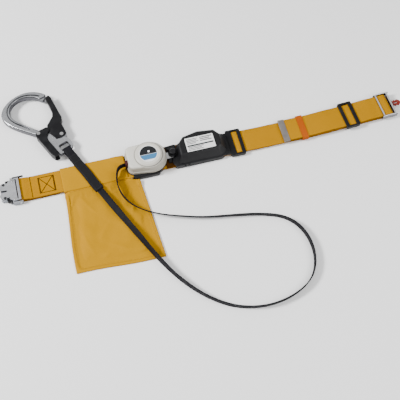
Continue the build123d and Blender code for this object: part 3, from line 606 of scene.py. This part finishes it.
def make_belt():
    line = thin_line([(x, 0, z) for x, z in belt_profile()], 3.0)
    frames = []
    run = 0.0
    for index, place in enumerate(line):
        before = line[max(0, index - 1)]
        after = line[min(len(line) - 1, index + 1)]
        forward = (after - before).normalized()
        wide = Vector((0, 1, 0))
        if index:
            run += (place - before).length
        frames.append((place, wide, wide.cross(forward), run))
    verts, faces, uvs = sweep(frames, rounded_section(2 * BELT_HALF, BELT_THICK))
    verts = [bent(vert) for vert in verts]
    belt = add_piece("belt_webbing", verts, faces, "yellow_webbing", "root", uvs)
    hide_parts("belt_strap")

    top = BELT_Z + BELT_THICK / 2
    low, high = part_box("box_stitch")
    x0, x1, y0, y1 = low[0] / MM + 2.2, high[0] / MM - 2.2, low[1] / MM + 1, high[1] / MM - 1
    runs = [((x0, y0, top), (x1, y0, top)), ((x0, y1, top), (x1, y1, top)),
            ((x0, y0, top), (x1, y1, top)), ((x0, y1, top), (x1, y0, top))]
    for x in (x0, x0 - 1.4, x1, x1 + 1.4):
        runs.append(((x, y0 - 1, top), (x, y1 + 1, top)))
    box = stitches("belt_box_stitches", runs, 2.4, 2.3, 1.4, "brown_thread")
    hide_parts("box_stitch")
    fold = [((-310.5, -BELT_HALF + 1, top + 0.5), (-310.5, BELT_HALF - 1, top + 0.5))]
    stitches("belt_fold_stitches", fold, 2.6, 2.5, 1.3, "brown_thread")


# ---------------------------------------------------------------- loop and sleeve at the hook


GROOVE = [(127, -25), (139.5, -12.5), (147, 1), (149.5, 15), (147.5, 29), (139.5, 43.5), (126.5, 52),
          (109.5, 52.5), (92, 45), (70.5, 33.5)]
GROOVE_FLOOR = 5.3


def hook_point(x, y, z):
    return HOOK_ORIGIN + ALONG * x + ACROSS * y + Vector((0, 0, z))


def make_hook_webbing():
    reach = 4.85
    lower = [(SLEEVE_START - 8, -1.15), (-26, -1.15), (-17, -reach + 0.4), (EYE_BAR_X - 1, -reach)]
    turn = [(EYE_BAR_X + reach * math.cos(a), reach * math.sin(a)) for a in (-1.1, -0.55, 0, 0.55, 1.1)]
    upper = [(EYE_BAR_X - 1, reach), (-17, reach - 0.4), (-26, 1.15), (SLEEVE_START - 8, 1.15)]
    line = thin_line([hook_point(x, 0, z) for x, z in lower + turn + upper], 1.6)
    frames = []
    run = 0.0
    for index, place in enumerate(line):
        before = line[max(0, index - 1)]
        forward = (line[min(len(line) - 1, index + 1)] - before).normalized()
        if index:
            run += (place - before).length
        frames.append((place, ACROSS, ACROSS.cross(forward), run))
    verts, faces, uvs = sweep(frames, rounded_section(17.0, 2.0))
    loop = add_piece("hook_loop_webbing", verts, faces, "black_webbing", "root", uvs)
    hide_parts("hook_loop")

    frames = []
    steps = 60
    for step in range(steps + 1):
        share = step / steps
        x = SLEEVE_START + (SLEEVE_END - SLEEVE_START) * share
        swell = 0.25 * math.sin(share * 23) + 0.2 * math.sin(share * 61 + 1)
        lip = 1.0 - 0.10 * smoothstep(abs(share - 0.5), 0.47, 0.5)
        place = hook_point(x, 0.3 * math.sin(share * 9), 0.15 * math.sin(share * 14))
        frames.append((place, ACROSS * lip * (1 + 0.012 * swell), Vector((0, 0, -1)) * lip * (1 + 0.10 * swell),
                       -x))
    verts, faces, uvs = sweep(frames, rounded_section(19.0, 4.8, 5))
    sleeve = add_piece("wear_sleeve", verts, faces, "black_sleeve", "root", uvs)
    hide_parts("webbing_sleeve")
    top = 2.45
    runs = []
    for side in (-1, 1):
        runs.append((hook_point(SLEEVE_START - 2, side * 6.6, top), hook_point(SLEEVE_END + 2, side * 6.6, top)))
    for x in (SLEEVE_START - 3, SLEEVE_START - 20, SLEEVE_END + 3):
        runs.append((hook_point(x, -6.4, top), hook_point(x, 6.4, top)))
    stitches("sleeve_stitches", runs, 3.0, 2.6, 0.8, "black_thread")


def make_hook_groove_shade():
    """Dark line painted along the groove at the hook's inner edge, as the groove's shade."""
    line = thin_line([hook_point(x, y, GROOVE_FLOOR + 0.25) for x, y in GROOVE], 2.5)
    frames = []
    run = 0.0
    for index, place in enumerate(line):
        before, after = line[max(0, index - 1)], line[min(len(line) - 1, index + 1)]
        forward = (after - before).normalized()
        if index:
            run += (place - before).length
        frames.append((place, Vector((-forward.y, forward.x, 0)), Vector((0, 0, 1)), run))
    verts, faces, uvs = sweep(frames, rounded_section(2.8, 0.4))
    # painted shade: a black strip lying in the groove
    groove_shade = add_piece("hook_groove_shade_line", verts, faces, "print_black", "hook", uvs)


# ---------------------------------------------------------------- bag


BAG_TOP_Y = 26.3
SEAM_Y = -27.4
SEAM_Z = 7.9
BAG_LEFT, BAG_TUNNEL_RIGHT = -250.5, -123.5
GUSSET_RIGHT = -113.0
BAG_HEM = 8.0
HELD_CELLS = 4.0
CLOTH_GROWTH = 0.012
CLOTH_STEPS = 16
CLOTH_LIMIT = 5.0 * MM
CLOTH_FLOOR = 0.9 * MM
# each crease: x and y of its two ends, width, height
CREASES = [
    (-248, -44, -200, -30, 4.5, 1.6), (-244, -58, -188, -52, 6.0, 1.2), (-226, -34, -196, -84, 5.0, 1.3),
    (-116, -46, -142, -78, 4.0, 2.2), (-106, -58, -134, -104, 4.5, 2.4), (-100, -80, -122, -132, 5.0, 2.0),
    (-112, -40, -166, -50, 4.5, 1.8), (-102, -112, -150, -128, 5.5, 1.6), (-190, -150, -120, -186, 6.0, 1.5),
    (-236, -96, -214, -176, 6.5, 1.4), (-176, -110, -204, -146, 7.0, 1.3), (-160, -188, -108, -172, 5.0, 1.4),
    (-228, -186, -186, -170, 5.0, 1.2), (-170, -36, -162, -74, 5.0, 1.0),
]


def bag_left(y):
    return -251.0 - 9.0 * smoothstep(-y, 27, 198) * 0.75 - 0.6 * math.sin(y / 31)


def bag_right(y):
    lower = -102.0 + 12.0 * min(1.0, max(0.0, (-34 - y) / 171.0))
    return GUSSET_RIGHT + (lower - GUSSET_RIGHT) * smoothstep(-y, 31.5, 34.5)


def bag_bottom(share):
    return -198.0 - 7.0 * share + 1.0 * math.sin(share * 7)


def crease_height(x, y, crease):
    """Height of one crease: a soft ridge that fades out at both ends."""
    x0, y0, x1, y1, width, height = crease
    run_x, run_y = x1 - x0, y1 - y0
    length = math.hypot(run_x, run_y)
    share = ((x - x0) * run_x + (y - y0) * run_y) / length ** 2
    bow = 3.0 * math.sin(math.pi * min(1.0, max(0.0, share)))
    aside = ((x - x0) * run_y - (y - y0) * run_x) / length - bow
    beyond = max(0.0, -share, share - 1.0) * length
    sharp = math.exp(-(math.sqrt(aside * aside + 0.5) - 0.7) / width)
    return height * sharp * smoothstep(math.sin(math.pi * min(1.0, max(0.0, share))), -0.1, 0.8) * math.exp(-beyond / 8)


def bag_height(x, y, share):
    """Height of the bag's front cloth."""
    left, right = bag_left(y), bag_right(y)
    edge = min(x - left, right - x, y - bag_bottom(share))
    below = SEAM_Y - y
    puff = smoothstep(edge, 0, 30)
    waves = noise.noise(Vector((x / 48, y / 62, 0.3))) * 3.0
    waves += noise.noise(Vector((x / 19, y / 24, 4.1))) * 1.1
    soft = 5.2 + waves + sum(crease_height(x, y, crease) for crease in CREASES)
    z = 1.9 + puff * max(0.6, soft) + 0.7 * smoothstep(BAG_HEM - edge, -0.6, 0.6)
    z -= 0.5 * math.exp(-((edge - BAG_HEM) / 1.1) ** 2)
    z += (SEAM_Z - z) * smoothstep(below, 26, 0) * smoothstep(edge + below, 0, 10)
    return z - 0.9 * math.exp(-(below / 1.3) ** 2)


def settle_cloth(bag, front_count, columns, rows):
    """Let the front cloth buckle a little between its hems, and keep the result in the mesh."""
    rest = [vert.co.copy() for vert in bag.data.vertices]
    held = bag.vertex_groups.new(name="held")
    wide = columns + 1
    for index in range(len(rest)):
        row, column = divmod(index, wide)
        if index >= front_count:
            held.add([index], 1.0, "REPLACE")
            continue
        inset = min(column, columns - column, row, rows - row)
        held.add([index], max(0.0, 1.0 - inset / HELD_CELLS), "REPLACE")
    cloth = bag.modifiers.new("settle", "CLOTH")
    settings = cloth.settings
    settings.quality = 6
    settings.mass = 0.15
    settings.tension_stiffness = 12.0
    settings.compression_stiffness = 12.0
    settings.shear_stiffness = 4.0
    settings.bending_stiffness = 0.12
    settings.vertex_group_mass = "held"
    settings.shrink_min = -CLOTH_GROWTH
    settings.effector_weights.gravity = 0.15
    cloth.collision_settings.use_collision = False
    cloth.collision_settings.use_self_collision = False
    scene = bpy.context.scene
    for step in range(1, CLOTH_STEPS + 1):
        scene.frame_set(step)
    settled = bag.evaluated_get(bpy.context.evaluated_depsgraph_get())
    shape = bpy.data.meshes.new_from_object(settled)
    bag.modifiers.remove(cloth)
    scene.frame_set(1)
    for index, vert in enumerate(bag.data.vertices):
        if index >= front_count:
            continue
        move = shape.vertices[index].co - rest[index]
        if move.length > CLOTH_LIMIT:
            move = move.normalized() * CLOTH_LIMIT
        moved = rest[index] + move
        moved.z = max(moved.z, CLOTH_FLOOR)
        vert.co = moved
    bpy.data.meshes.remove(shape)
    bag.vertex_groups.remove(held)


def make_bag():
    columns, rows = 92, 104
    verts, faces, uvs = [], [], []

    def add_side(front):
        base = len(verts)
        for row in range(rows + 1):
            down = row / rows
            for column in range(columns + 1):
                share = column / columns
                y = SEAM_Y + (bag_bottom(share) - SEAM_Y) * down
                x = bag_left(y) + (bag_right(y) - bag_left(y)) * share
                verts.append((x, y, bag_height(x, y, share) if front else 0.5))
                uvs.append((x * MM, y * MM))
        return base

    front, back = add_side(True), add_side(False)
    wide = columns + 1
    for row in range(rows):
        for column in range(columns):
            a = row * wide + column
            faces.append((front + a, front + a + wide, front + a + wide + 1, front + a + 1))
            faces.append((back + a, back + a + 1, back + a + wide + 1, back + a + wide))
    border = [column for column in range(columns)]
    border += [columns + row * wide for row in range(rows)]
    border += [rows * wide + column for column in range(columns, 0, -1)]
    border += [row * wide for row in range(rows, 0, -1)]
    for here, there in zip(border, border[1:] + border[:1]):
        faces.append((front + here, front + there, back + there, back + here))
    bag = add_piece("bag_pouch", verts, faces, "yellow_cloth", "root", uvs)
    settle_cloth(bag, wide * (rows + 1), columns, rows)
    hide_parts("bag_back_panel", "bag_front_panel")

    make_tunnel()
    make_gusset()
    make_bag_stitches()


def make_tunnel():
    """Cloth tube round the belt, open at both ends."""
    half, low, high = BAG_TOP_Y, 2.2, 8.2
    ring = []
    for step in range(17):
        ring.append((half - 2 * half * step / 16, high))
    ring += [(-half - 0.9, 6.6), (-half - 0.9, 4.0)]
    for step in range(17):
        ring.append((-half + 2 * half * step / 16, low))
    ring += [(half + 0.9, 4.0), (half + 0.9, 6.6)]
    steps = 50
    verts, faces, uvs = [], [], []
    count = len(ring)
    for step in range(steps + 1):
        share = step / steps
        x = BAG_LEFT + (BAG_TUNNEL_RIGHT - BAG_LEFT) * share
        for y, z in ring:
            if z > 5:
                z += noise.noise(Vector((x / 24, y / 30, 2.0))) * 0.9
                z += 1.1 * math.exp(-((x + 138) / 12) ** 2) * math.sin((y + 0.5 * x) / 4.2)
            verts.append((x, y, z))
            uvs.append((x * MM, y * MM))
    for step in range(steps):
        for column in range(count):
            right = (column + 1) % count
            here, there = step * count, (step + 1) * count
            faces.append((here + column, there + column, there + right, here + right))
    tunnel = add_piece("bag_tunnel_cloth", verts, faces, "yellow_cloth", "root", uvs)
    shell = tunnel.modifiers.new("thickness", "SOLIDIFY")
    shell.thickness = 0.8 * MM
    shell.offset = 1.0
    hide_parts("bag_tunnel")


def make_gusset():
    """Cloth between the pouch's upper right corner and the belt, up to the reel's bracket."""
    columns, rows = 10, 5
    verts, faces, uvs = [], [], []
    for row in range(rows + 1):
        down = row / rows
        for column in range(columns + 1):
            x = BAG_TUNNEL_RIGHT - 2 + (GUSSET_RIGHT - BAG_TUNNEL_RIGHT + 2) * column / columns
            y = -23.5 + (SEAM_Y - 0.6 + 23.5) * down
            verts.append((x, y, 7.4 + 0.5 * math.sin(math.pi * down) + 0.4 * down))
            uvs.append((x * MM, y * MM))
    wide = columns + 1
    for row in range(rows):
        for column in range(columns):
            a = row * wide + column
            faces.append((a, a + wide, a + wide + 1, a + 1))
    gusset = add_piece("bag_gusset_cloth", verts, faces, "yellow_cloth", "root", uvs)
    shell = gusset.modifiers.new("thickness", "SOLIDIFY")
    shell.thickness = 0.8 * MM


def make_belt_pad_and_shadow():
    """Black pad on the belt, from the absorber's base to the slider, and a brown sheet at the reel: mostly the reel's
    painted shadow on the belt, partly the belt's brown print.
    """
    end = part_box("absorber_slider")[0][0] / MM - 0.3
    outline = [(66, -24.6), (end, -24.6), (end, 24.6), (72, 24.6)]
    verts = [(x, y, z) for z in (6.6, 8.6) for x, y in outline]
    faces = [(3, 2, 1, 0), (4, 5, 6, 7)] + [(i, (i + 1) % 4, (i + 1) % 4 + 4, i + 4) for i in range(4)]
    add_piece("absorber_end_pad", verts, faces, "black_plastic", "root", smooth=False)
    reel_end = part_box("reel_bracket")[1][0] / MM
    left, right = reel_end - 6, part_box("absorber_base")[0][0] / MM + 4
    outline = [(left, -24.4), (right, -24.4), (right, 24.4), (left, 24.4)]
    verts = [(x, y, z) for z in (6.2, 7.1) for x, y in outline]
    # brown sheet between reel and absorber: painted shadow of the reel, partly the belt's brown print
    add_piece("belt_shadow_patch", verts, faces, "brown_thread", "root", smooth=False)


def make_bag_stitches():
    """Thread just below the seam and along the hems, laid on the cloth."""

    def on_cloth(x, y):
        share = (x - bag_left(y)) / (bag_right(y) - bag_left(y))
        return x, y, bag_height(x, y, share) + 0.25

    def along_line(points):
        return list(zip(points, points[1:]))

    seam = [on_cloth(BAG_LEFT + 2 + 8 * step, SEAM_Y - 3.0) for step in range(16)]
    left_hem = [on_cloth(bag_left(y) + BAG_HEM - 1.6, y) for y in range(-36, -192, -8)]
    right_hem = [on_cloth(bag_right(y) - BAG_HEM + 1.6, y) for y in range(-44, -196, -8)]
    bottom = []
    for step in range(19):
        share = 0.05 + 0.05 * step
        y = bag_bottom(share) + BAG_HEM - 1.6
        bottom.append(on_cloth(bag_left(y) + (bag_right(y) - bag_left(y)) * share, y))
    runs = along_line(seam) + along_line(left_hem) + along_line(right_hem) + along_line(bottom)
    stitches("bag_stitches", runs, 2.6, 1.8, 0.5, "yellow_thread")


# ---------------------------------------------------------------- prints, and a painted shade ring at the reel's dome


def circle(centre_x, centre_y, radius, z, steps=24):
    return [(centre_x + radius * math.cos(2 * math.pi * step / steps),
             centre_y + radius * math.sin(2 * math.pi * step / steps), z) for step in range(steps)]


def disc_part(keep, z, radius, steps=64):
    """Outline of the part of a disc on the badge that lies between two heights across it."""
    centre = middle("reel_badge") / MM
    low, high = keep
    outline = []
    for step in range(steps):
        turn = 2 * math.pi * step / steps
        y = min(high, max(low, radius * math.sin(turn)))
        x = math.copysign(math.sqrt(max(0.0, radius * radius - y * y)), math.cos(turn))
        if not low < radius * math.sin(turn) < high:
            x = radius * math.cos(turn)
        outline.append((centre.x + x, centre.y + y, z))
    return outline


def flat_print(name, outline, material):
    count = len(outline)
    verts = list(outline) + [(x, y, z - 0.15) for x, y, z in outline]
    faces = [tuple(range(count)), tuple(range(2 * count - 1, count - 1, -1))]
    for index in range(count):
        after = (index + 1) % count
        faces.append((index, index + count, after + count, after))
    add_piece(name, verts, faces, material, "root", smooth=False)


DOME_GROOVE_R, DOME_FOOT_Z = 27.75, 30.75
COVER_TOP = 13.0
RIVET_INSET, RIVET_Y, RIVET_RING_R, RIVET_CAP_R = 9.5, 14.6, 3.2, 2.3
RIVET_TOP = 13.82
PRINT_LIFT = 0.08
BADGE_PRINT_R = 17.0
# dark slots on the left buckle's cover: name, place from its left edge and its middle, length, width
BUCKLE_SLOTS = [
    ("buckle_slot_middle", 3.0, 0.0, 12.0, 2.8), ("buckle_slot_near", 12.5, -16.0, 6.0, 2.4),
    ("buckle_slot_rim", 31.5, 13.0, 4.0, 2.4),
]


def make_prints_and_shade_ring():
    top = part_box("reel_badge")[1][2] / MM
    flat_print("badge_upper", disc_part((-1.5, 20), top + PRINT_LIFT, BADGE_PRINT_R), "print_black")
    flat_print("badge_lower", disc_part((-13.6, -2.1), top + PRINT_LIFT, BADGE_PRINT_R), "print_blue")
    centre = middle("reel_badge") / MM
    flat_print("badge_dot", circle(centre.x + 1.5, centre.y + 4.5, 2.2, top + 2 * PRINT_LIFT), "print_white")

    # dark ring painted as the shade in the groove at the dome's foot
    groove_shade = [Vector(place) for place in circle(centre.x, centre.y, DOME_GROOVE_R, DOME_FOOT_Z, 90)]
    groove_shade.append(groove_shade[0])
    frames = []
    for index, place in enumerate(groove_shade):
        outward = Vector((place.x - centre.x, place.y - centre.y, 0)).normalized()
        frames.append((place, outward, Vector((0, 0, 1)), 2.0 * index))
    verts, faces, uvs = sweep(frames, rounded_section(1.3, 0.3))
    add_piece("reel_dome_groove_shade", verts, faces, "case_groove_shade", "root", uvs)

    low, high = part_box("buckle_cover")
    left, centre_y, z = low[0] / MM, (low[1] + high[1]) / 2 / MM, COVER_TOP + PRINT_LIFT
    for name, x, y, length, wide in BUCKLE_SLOTS:
        corners = [(left + x, centre_y + y - wide / 2, z), (left + x + length, centre_y + y - wide / 2, z),
                   (left + x + length, centre_y + y + wide / 2, z), (left + x, centre_y + y + wide / 2, z)]
        flat_print(name, corners, "print_black")
    for side in (-1, 1):
        place = (left + RIVET_INSET, centre_y + side * RIVET_Y)
        ring, cap = circle(*place, RIVET_RING_R, z), circle(*place, RIVET_CAP_R, RIVET_TOP + PRINT_LIFT)
        flat_print(f"rivet_ring_{side + 1}", ring, "print_black")
        flat_print(f"rivet_cap_{side + 1}", cap, "print_black")

    low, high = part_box("absorber_label")
    x0, x1, y0, y1, z = low[0] / MM, high[0] / MM, low[1] / MM, high[1] / MM, high[2] / MM + 0.05

    def bar(name, u0, u1, v, thick, material="print_grey"):
        left, right = x0 + (x1 - x0) * u0, x0 + (x1 - x0) * u1
        y = y0 + (y1 - y0) * v
        corners = [(left, y - thick / 2, z), (right, y - thick / 2, z),
                   (right, y + thick / 2, z), (left, y + thick / 2, z)]
        flat_print(name, corners, material)

    bar("label_rule", 0.04, 0.96, 0.40, 3.2, "print_black")
    for row, (start, end) in enumerate(((0.05, 0.44), (0.05, 0.40), (0.05, 0.46), (0.05, 0.36))):
        bar(f"label_line_{row}", start, end, 0.88 - 0.105 * row, 1.5)
    for row, (start, end) in enumerate(((0.52, 0.95), (0.52, 0.86), (0.52, 0.93))):
        bar(f"label_text_{row}", start, end, 0.88 - 0.12 * row, 2.0)
    for row, (start, end) in enumerate(((0.05, 0.60), (0.05, 0.52), (0.05, 0.57))):
        bar(f"label_foot_{row}", start, end, 0.29 - 0.10 * row, 1.5)


# ---------------------------------------------------------------- CAD nodes


def dress_nodes():
    slots = {part["node"]: part["material_slot"] for part in frame["record"]["subparts"]}
    for node, slot in slots.items():
        piece = bpy.data.objects.get(node)
        if piece is None or piece.type != "MESH":
            continue
        if not piece.data.materials:
            piece.data.materials.append(None)
        for index in range(len(piece.material_slots)):
            piece.material_slots[index].link = "OBJECT"
            piece.material_slots[index].material = MATERIALS[slot]


MATERIALS = make_materials()
make_camera()
make_world()
make_floor()
make_light("key", (-2.3, 0.3, 2.0), (0.0, -0.05, 0.0), 0.8, 155)
make_light("fill", (1.1, -0.9, 1.5), (0.0, 0.0, 0.0), 1.4, 26)
dress_nodes()
make_lifeline()
make_belt()
make_hook_webbing()
make_hook_groove_shade()
make_bag()
make_belt_pad_and_shadow()
make_prints_and_shade_ring()
